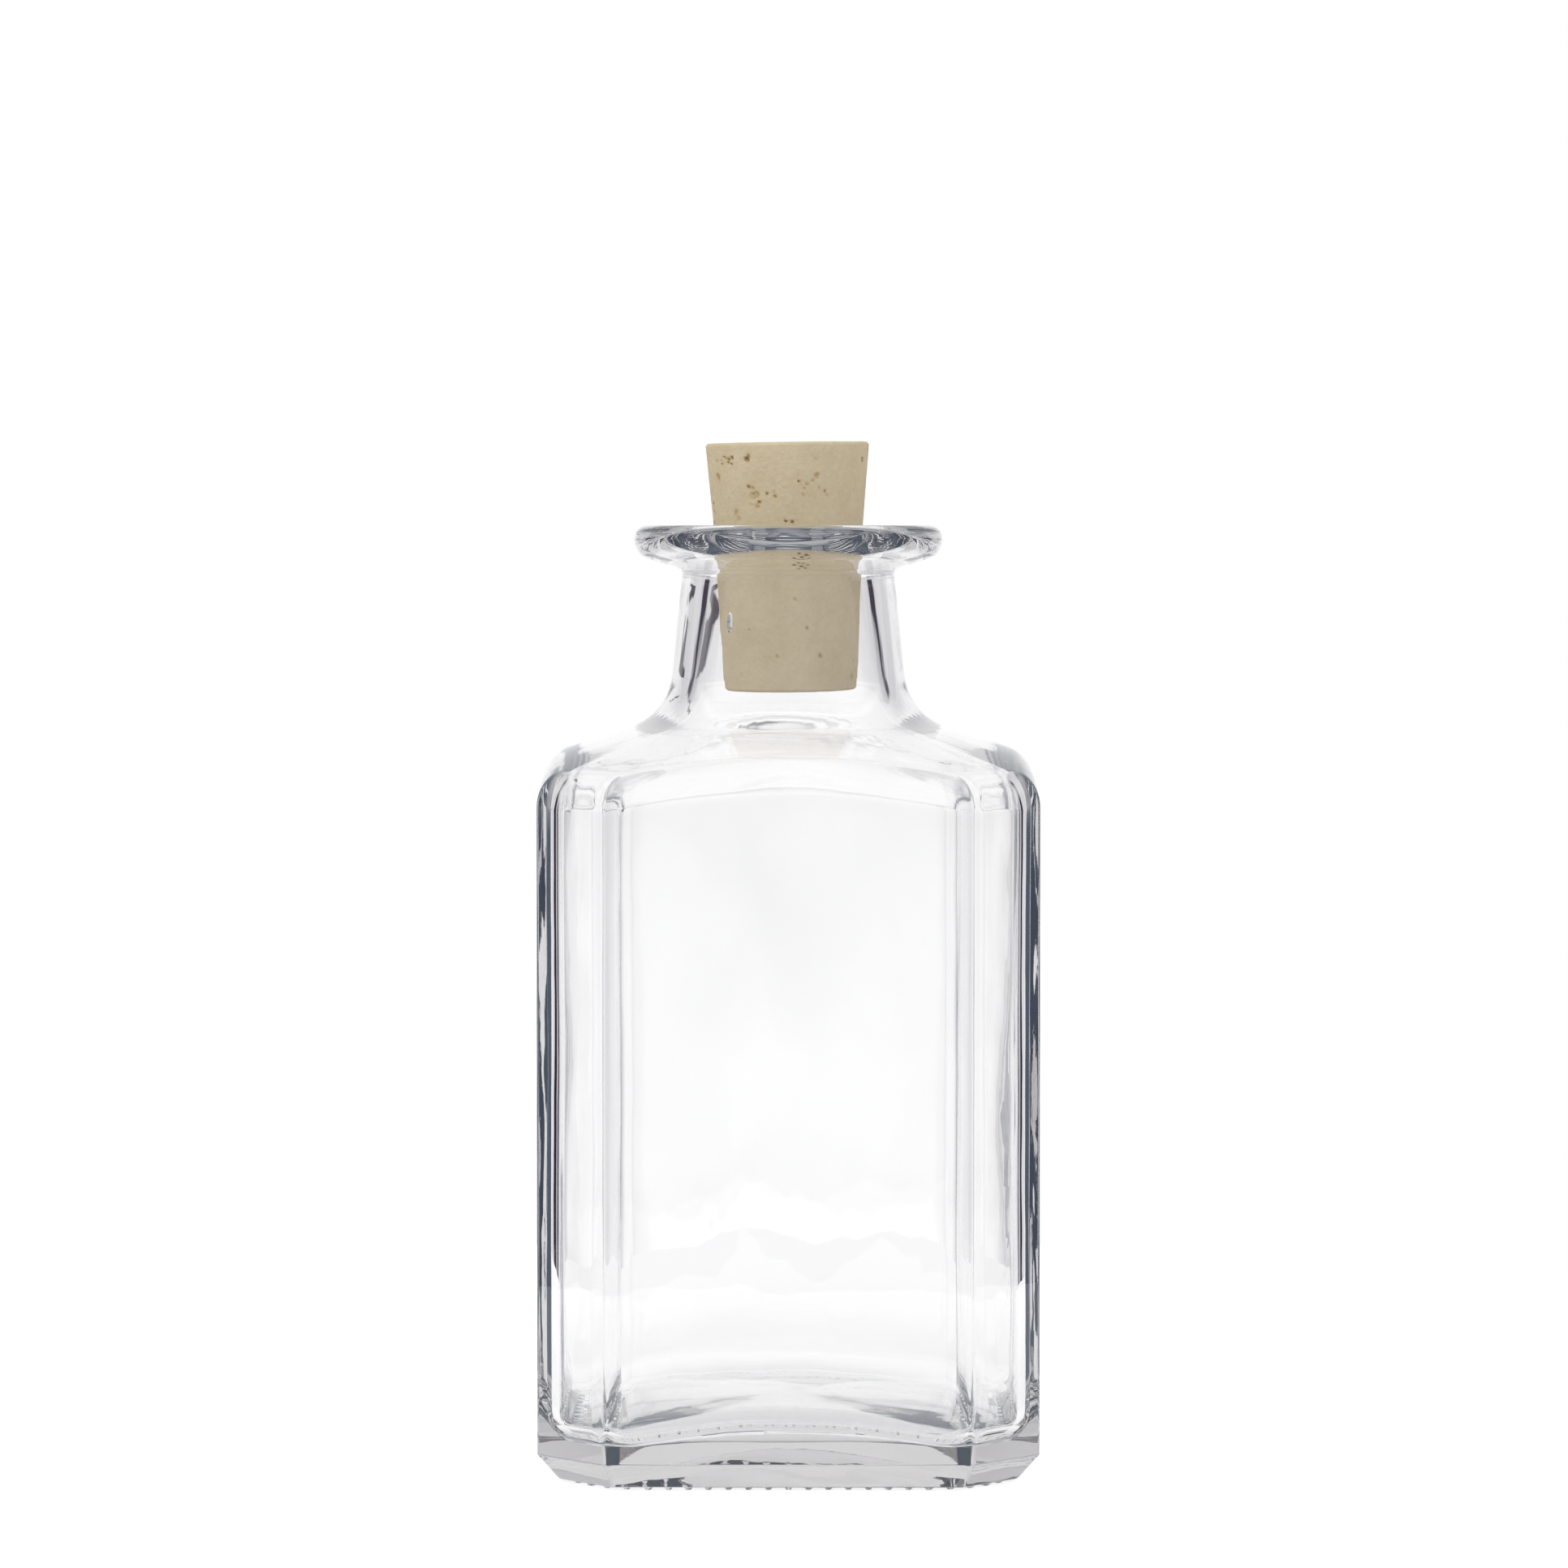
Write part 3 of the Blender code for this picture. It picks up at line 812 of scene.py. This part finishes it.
# Pits and stains of the cork's front: across and over the mouth, in millimetres, size and strength
CORK_MARKS = (
    (-8.1, 8.1, 0.15, 0.9), (-7.9, 8.5, 0.15, 0.7), (-8.1, 7.7, 0.13, 0.7), (-7.6, 8.3, 0.13, 0.6),
    (-7.3, 8.2, 0.18, 0.9), (-7.4, 7.8, 0.13, 0.7), (-6.9, 8.4, 0.18, 1.0), (-7.0, 7.7, 0.15, 1.0),
    (-5.1, 8.2, 0.30, 1.0), (-4.9, 8.6, 0.24, 0.5), (-4.9, 4.8, 0.20, 0.6), (-4.3, 4.6, 0.20, 0.35),
    (-4.1, 3.7, 0.55, 0.40), (-3.6, 2.9, 0.22, 0.65), (-3.8, 2.4, 0.26, 0.40), (-4.6, 2.6, 0.20, 0.25),
    (-2.6, 3.9, 0.17, 0.6), (-1.6, 3.6, 0.20, 0.5), (-1.7, 4.1, 0.16, 0.3), (1.4, 5.4, 0.16, 0.7),
    (1.3, 6.1, 0.24, 0.15), (3.6, 6.1, 0.30, 0.35), (3.1, 5.5, 0.16, 0.3), (2.4, 5.0, 0.16, 0.3),
    (2.0, 4.5, 0.16, 0.3), (1.9, 3.7, 0.16, 0.2), (3.9, 4.6, 0.16, 0.3), (4.6, 4.1, 0.18, 0.5),
    (4.8, 3.7, 0.14, 0.3), (3.5, 8.1, 0.16, 0.2), (-9.3, 2.8, 0.26, 0.8), (-9.2, 1.7, 0.24, 0.7),
    (-9.2, 0.3, 0.24, 1.0), (-6.4, 1.6, 0.34, 0.3), (-6.1, 0.9, 0.30, 0.25), (-0.3, 0.5, 0.17, 0.7),
    (0.5, 0.4, 0.17, 0.6), (0.7, -1.0, 0.22, 1.0), (1.2, -0.5, 0.15, 0.9), (1.5, -1.4, 0.20, 1.0),
    (2.3, -1.0, 0.20, 1.0), (1.2, -2.3, 0.18, 0.9), (2.0, -2.0, 0.22, 1.0), (1.7, -0.6, 0.13, 0.9),
    (0.6, -9.2, 0.18, 0.3), (2.0, -12.8, 0.14, 0.5), (3.6, -16.2, 0.24, 0.4), (-1.6, -16.2, 0.16, 0.3),
    (-4.8, -12.9, 0.14, 0.4), (6.9, -6.9, 0.26, 0.3),
)


def cork_radius(height):
    """Radius of the cork at a height over its seat in the mouth."""
    if height < 0:
        return CORK_SEAT_DIAMETER / 2 + CORK_NARROWING * height
    flare = (CORK_TOP_DIAMETER - CORK_SEAT_DIAMETER) / 2
    return CORK_SEAT_DIAMETER / 2 + flare * height / CORK_STANDING


def cork_marks():
    """The pits of the cork as loose points with sizes: those seen in front, and more all round."""
    mesh = bmesh.new()
    size_layer = mesh.verts.layers.float.new("mark_size")
    strength_layer = mesh.verts.layers.float.new("mark_strength")
    for across, height, size, strength in CORK_MARKS:
        height = height * MILLIMETRE
        radius = cork_radius(height)
        side = max(min(across * MILLIMETRE / radius, 1), -1)
        turn = math.asin(side)
        point = mesh.verts.new((radius * side, -radius * math.cos(turn), height))
        point[size_layer] = size * MILLIMETRE
        point[strength_layer] = strength
    chance = random.Random(CORK_SEED)
    for number in range(SPARE_MARKS):
        height = chance.uniform(-CORK_SUNK, CORK_STANDING)
        turn = chance.uniform(*SPARE_TURNS)
        radius = cork_radius(height)
        place = raised(heading(turn) * radius, height)
        if number % ONE_IN_THE_TOP == 0:
            place = raised(heading(turn) * radius * math.sqrt(chance.random()), CORK_STANDING)
        point = mesh.verts.new(place)
        point[size_layer] = chance.choice(SPARE_SIZES) * MILLIMETRE
        point[strength_layer] = chance.uniform(0.2, 1)
    return mesh


# The inputs of the tree that turns the cork
CORK_SIZES = {
    "Top radius": CORK_TOP_DIAMETER / 2, "Seat radius": CORK_SEAT_DIAMETER / 2,
    "Foot radius": CORK_FOOT_DIAMETER / 2, "Standing": CORK_STANDING, "Sunk": CORK_SUNK,
    "Rim": CORK_RIM, "Lean": CORK_LEAN, "Mouth height": BOTTLE_HEIGHT, "Pit depth": PIT_DEPTH,
    "Grain depth": GRAIN_DEPTH, "Grain size": GRAIN_SIZE, "Flute depth": FLUTE_DEPTH,
    "Seed": CORK_SEED,
}


def turned_rod(tree, sizes):
    """A rod turned to the cork's taper, with crisp rims and its seat at height 0."""
    rod = node(tree, "GeometryNodeMeshCylinder", fill_type="TRIANGLE_FAN")
    for name, value in CORK_ROD.items():
        feed(tree, rod, name, value)
    axes = axes_of(tree, node(tree, "GeometryNodeInputPosition").outputs[0])
    whole = maths(tree, "ADD", sizes["Standing"], sizes["Sunk"])
    along = maths(tree, "ADD", axes["Z"], 0.5)
    height = maths(tree, "SUBTRACT", product(tree, along, whole), sizes["Sunk"])
    below = product(tree, sizes["Sunk"], -1)
    taper = ramp(tree, height, below, 0, sizes["Foot radius"], sizes["Seat radius"], False)
    flare = maths(tree, "SUBTRACT", sizes["Top radius"], sizes["Seat radius"])
    taper = maths(tree, "ADD", taper, ramp(tree, height, 0, sizes["Standing"], 0, flare, False))
    from_end = maths(tree, "MINIMUM", maths(tree, "ADD", height, sizes["Sunk"]),
                     maths(tree, "SUBTRACT", sizes["Standing"], height))
    rim = ramp(tree, from_end, 0, sizes["Rim"], sizes["Rim"], 0, False)
    radius = maths(tree, "SUBTRACT", taper, rim)
    turned = from_axes(tree, X=product(tree, axes["X"], radius), Y=product(tree, axes["Y"], radius),
                       Z=height)
    shaped = node(tree, "GeometryNodeSetPosition")
    feed(tree, shaped, "Geometry", rod.outputs["Mesh"])
    feed(tree, shaped, "Position", turned)
    return shaped.outputs[0]


def nearest_mark(tree, marks, place):
    """The place, the size and the strength of the mark nearest to a place."""
    nearest = node(tree, "GeometryNodeSampleNearest", domain="POINT")
    feed(tree, nearest, "Geometry", marks)
    feed(tree, nearest, "Sample Position", place)
    own_place = node(tree, "GeometryNodeInputPosition").outputs[0]
    picked = []
    for source, kind in ((own_place, "FLOAT_VECTOR"), (named(tree, "mark_size"), "FLOAT"),
                         (named(tree, "mark_strength"), "FLOAT")):
        sample = node(tree, "GeometryNodeSampleIndex", data_type=kind, domain="POINT")
        feed(tree, sample, "Geometry", marks)
        feed(tree, sample, "Value", source)
        feed(tree, sample, "Index", nearest.outputs[0])
        picked.append(sample.outputs[0])
    return picked


def pit_and_halo(tree, sizes, marks, place):
    """How far a place lies in a pit, and in the stain round it, each from 0 to 1."""
    mark_place, mark_size, mark_strength = nearest_mark(tree, marks, place)
    apart = vector_maths(tree, "LENGTH", vector_maths(tree, "SUBTRACT", place, mark_place))
    rough = noise(tree, place, PIT_UNEVEN_SIZE, sizes["Seed"], 2)
    share = maths(tree, "ADD", maths(tree, "DIVIDE", apart, mark_size),
                  product(tree, rough, PIT_UNEVEN))
    pit = product(tree, ramp(tree, share, *PIT_END), mark_strength)
    stain = ramp(tree, mark_strength, *STAIN_BY_STRENGTH)
    return pit, product(tree, ramp(tree, share, *HALO_END), stain)


def cork_tree(material):
    """Turns the cork, wears its side and pits it where its marks are, and stands it in the mouth."""
    tree, given, out = new_tree("cork_turning", CORK_SIZES)
    sizes = given.outputs
    place = node(tree, "GeometryNodeInputPosition").outputs[0]
    pit, halo = pit_and_halo(tree, sizes, given.outputs["Geometry"], place)
    marked = store(tree, store(tree, turned_rod(tree, sizes), "pit", pit), "halo", halo)

    grain = noise(tree, place, sizes["Grain size"], maths(tree, "ADD", sizes["Seed"], 3), 3)
    upright = vector_maths(tree, "MULTIPLY", place, FLUTE_STRETCH)
    flute = noise(tree, upright, FLUTE_SIZE, sizes["Seed"], 1)
    proud = maths(tree, "ADD", product(tree, grain, sizes["Grain depth"]),
                  product(tree, flute, sizes["Flute depth"]))
    sunk = product(tree, pit, product(tree, sizes["Pit depth"], -1))
    proud = maths(tree, "ADD", maths(tree, "SUBTRACT", proud, sizes["Grain depth"]), sunk)
    normal = node(tree, "GeometryNodeInputNormal").outputs[0]
    worn = node(tree, "GeometryNodeSetPosition")
    feed(tree, worn, "Geometry", marked)
    feed(tree, worn, "Offset", vector_maths(tree, "SCALE", normal, scale=proud))

    stood = node(tree, "GeometryNodeTransform")
    feed(tree, stood, "Geometry", worn.outputs[0])
    feed(tree, stood, "Translation", from_axes(tree, Z=sizes["Mouth height"]))
    feed(tree, stood, "Rotation", from_axes(tree, Y=product(tree, sizes["Lean"], -1)))
    finish_tree(tree, stood.outputs[0], out, material)
    return tree


def store(tree, geometry, name, value):
    """Keeps a float on the points of a geometry under a name."""
    made = node(tree, "GeometryNodeStoreNamedAttribute", data_type="FLOAT", domain="POINT")
    feed(tree, made, "Geometry", geometry)
    made.inputs["Name"].default_value = name
    feed(tree, made, "Value", value)
    return made.outputs[0]


def cork_material():
    """Sanded natural cork: small close cells, faint clouds, brown where the bark had pores, and painted
    light: paler in the neck.
    """
    material, tree, shader = new_material("natural_cork")
    place = node(tree, "ShaderNodeTexCoord").outputs["Object"]
    cloud = noise(tree, place, CLOUD_SIZE, 2, 2)
    cells = noise(tree, place, CELL_SIZE, 5, 3, 0.65)
    flattened = vector_maths(tree, "MULTIPLY", place, FLECK_STRETCH)
    fleck = noise(tree, flattened, FLECK_SIZE, 9, 2)
    speck = noise(tree, place, SPECK_SIZE, 6, 2)
    tone = maths(tree, "ADD", product(tree, cloud, 0.5), product(tree, cells, 0.5))
    colour = blended(tree, ramp(tree, tone, *TAN_BY_TONE), CORK_SHADE, CORK_TAN)
    colour = blended(tree, ramp(tree, fleck, *FLECK_BY_NOISE), colour, CORK_FLECK)
    stained = product(tree, kept(tree, "halo"), ramp(tree, speck, *STAIN_BY_SPECK))
    colour = blended(tree, stained, colour, CORK_STAIN)
    pored = product(tree, kept(tree, "pit"), ramp(tree, speck, *PORE_BY_SPECK))
    colour = blended(tree, pored, colour, CORK_PORE)
    # Painted light: below the mouth the cork's colour is made paler, standing in for the light that the
    # glass keeps from it
    edge = BOTTLE_HEIGHT - CORK_PAINTED_LIGHT_EDGE
    painted_light = ramp(tree, axes_of(tree, place)["Z"], edge, BOTTLE_HEIGHT, CORK_PAINTED_LIGHT_IN_NECK, 1)
    feed(tree, shader, "Base Color", vector_maths(tree, "SCALE", colour, scale=painted_light))
    feed(tree, shader, "Roughness", ramp(tree, cells, -1, 1, *CORK_ROUGHNESS))
    shader.inputs["Specular IOR Level"].default_value = CORK_SHINE
    bump = node(tree, "ShaderNodeBump")
    bump.inputs["Distance"].default_value = CELL_RELIEF
    bump.inputs["Strength"].default_value = CELL_RELIEF_SHARE
    feed(tree, bump, "Height", cells)
    feed(tree, shader, "Normal", bump.outputs[0])
    return material


def make_camera():
    """The camera, level with the lip, looking slightly down."""
    data = bpy.data.cameras.new("camera")
    data.sensor_width = SENSOR_WIDTH
    data.lens = FOCAL_PIXELS / PICTURE_SIDE * SENSOR_WIDTH
    data.shift_y = CAMERA_SHIFT
    data.clip_start, data.clip_end = CAMERA_REACH
    camera = bpy.data.objects.new("camera", data)
    camera.location = CAMERA_PLACE
    camera.rotation_euler = (math.pi / 2 - CAMERA_TILT, 0, 0)
    bpy.context.scene.collection.objects.link(camera)
    bpy.context.scene.camera = camera


def glass_rays(tree):
    """1 for the rays by which glass sees its surroundings, and the Light Path node."""
    light = node(tree, "ShaderNodeLightPath")
    seen = maths(tree, "MAXIMUM", light.outputs["Is Glossy Ray"], light.outputs["Is Transmission Ray"])
    unscattered = maths(tree, "LESS_THAN", light.outputs["Diffuse Depth"], 0.5)
    return product(tree, seen, unscattered), light


def within(tree, value, start, end):
    """1 where a value lies between two soft edges."""
    return product(tree, ramp(tree, value, *start), ramp(tree, value, *end, 1, 0))


def in_radians(edges):
    """A pair of edges, from degrees to radians."""
    return [math.radians(edge) for edge in edges]


def cards(tree, share, azimuth, height):
    """White cards with dark gaps between them, open air above and below, and a dim room beyond."""
    card = level_ramp(tree, share, CARD_LEVELS, HALF_TURN)
    open_air = maths(tree, "MAXIMUM", ramp(tree, height, *GAP_TOP), ramp(tree, height, *GAP_FOOT))
    card = blended(tree, open_air, card, OPEN_LEVEL)
    beside = ramp(tree, azimuth, *in_radians(ROOM_FROM))
    level = maths(tree, "ABSOLUTE", maths(tree, "SUBTRACT", height, ROOM_MIDDLE))
    room = product(tree, beside, ramp(tree, level, *ROOM_HALF, 1, 0))
    return blended(tree, room, card, ROOM_LEVEL)


def straight_rays(tree, light):
    """1 for light that went straight through both walls."""
    bent = maths(tree, "GREATER_THAN", light.outputs["Transmission Depth"], STRAIGHT_BENDS)
    unturned = maths(tree, "LESS_THAN", light.outputs["Ray Depth"], STRAIGHT_MEETINGS)
    return product(tree, bent, unturned)


def make_world():
    """A white studio: plain to the camera, and to the glass white cards with dark gaps between."""
    world = bpy.data.worlds.new("studio")
    world.use_nodes = True
    tree = world.node_tree
    axes = axes_of(tree, node(tree, "ShaderNodeTexCoord").outputs["Generated"])
    signed = maths(tree, "ARCTAN2", axes["X"], axes["Y"])
    azimuth = maths(tree, "ABSOLUTE", signed)
    share = maths(tree, "DIVIDE", azimuth, math.pi)
    height = axes["Z"]
    from_glass, light = glass_rays(tree)

    through = level_ramp(tree, share, THROUGH_LEVELS, HALF_TURN)
    through = blended(tree, ramp(tree, height, *FROM_ABOVE), FROM_ABOVE_LEVEL, through)
    card = blended(tree, straight_rays(tree, light), cards(tree, share, azimuth, height), through)
    slip = product(tree, within(tree, signed, in_radians(SLIP_FROM), in_radians(SLIP_TO)),
                   within(tree, height, SLIP_FOOT, SLIP_TOP))
    card = blended(tree, slip, card, DARK_GAP)

    dimmed = product(tree, ramp(tree, height, *CARD_DIM, False), BRIGHTEST,
                     ramp(tree, height, *CARD_DIM_FOOT))
    card = vector_maths(tree, "SCALE", card, scale=dimmed)
    studio = blended(tree, from_glass, SOFT_LIGHT, card)
    shown = blended(tree, light.outputs["Is Camera Ray"], studio, (1, 1, 1))
    feed(tree, tree.nodes["Background"], "Color", shown)
    bpy.context.scene.world = world


def make_table():
    """A round white table top, which keeps the bottle's soft shadow."""
    mesh = bmesh.new()
    bmesh.ops.create_circle(mesh, cap_ends=True, segments=128, radius=TABLE_RADIUS)
    data = bpy.data.meshes.new("table")
    mesh.to_mesh(data)
    mesh.free()
    table = bpy.data.objects.new("table", data)
    bpy.context.scene.collection.objects.link(table)
    material, tree, shader = new_material("white_card")
    shader.inputs["Base Color"].default_value = (*TABLE_COLOUR, 1)
    shader.inputs["Roughness"].default_value = TABLE_ROUGHNESS
    shader.inputs["Specular IOR Level"].default_value = TABLE_SHINE
    shader.inputs["Emission Color"].default_value = (1, 1, 1, 1)
    from_glass, light = glass_rays(tree)
    place = node(tree, "ShaderNodeTexCoord").outputs["Object"]
    away = vector_maths(tree, "LENGTH", place)
    glow = maths(tree, "ADD", ramp(tree, away, *TABLE_GLOW_NEAR), ramp(tree, away, *TABLE_GLOW_FAR))
    glow = product(tree, from_glass, maths(tree, "ADD", glow, TABLE_GLOW))
    seen = product(tree, light.outputs["Is Camera Ray"], TABLE_GLOW_SEEN)
    glow = maths(tree, "ADD", glow, seen)
    feed(tree, shader, "Emission Strength", glow)
    data.materials.append(material)


def make_lamps():
    """One large soft lamp high on the left and a weaker one on the right, not seen in the glass."""
    for name, place, power in LAMPS:
        data = bpy.data.lights.new(name, "AREA")
        data.energy = power
        data.size = LAMP_WIDTH
        lamp = bpy.data.objects.new(name, data)
        lamp.location = place
        lamp.visible_glossy = False
        lamp.visible_transmission = False
        aim = Vector((0, 0, LAMP_AIM)) - Vector(place)
        lamp.rotation_euler = aim.to_track_quat("-Z", "Y").to_euler()
        bpy.context.scene.collection.objects.link(lamp)


def make_bottle():
    """The dressed glass, in the place of its solid."""
    pressing = pressing_tree(glass_material())
    bottle = evaluated("bottle_glass", glass_loft(), pressing, PRESS_SIZES, GLASS_SHARP_ANGLE)
    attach(bottle, "bottle")
    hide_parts("glass_bottle")


def make_cork():
    """The dressed cork, in the place of its solid."""
    turning = cork_tree(cork_material())
    cork = evaluated("cork", cork_marks(), turning, CORK_SIZES, CORK_SHARP_ANGLE)
    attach(cork, "cork")
    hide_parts("cork_stopper")


def main():
    """Makes the stage, the bottle and the cork."""
    scene = bpy.context.scene
    scene.view_settings.view_transform = "Standard"
    scene.cycles.max_bounces, scene.cycles.glossy_bounces, scene.cycles.transmission_bounces = BOUNCES
    make_camera()
    make_world()
    make_table()
    make_lamps()
    make_bottle()
    make_cork()


main()
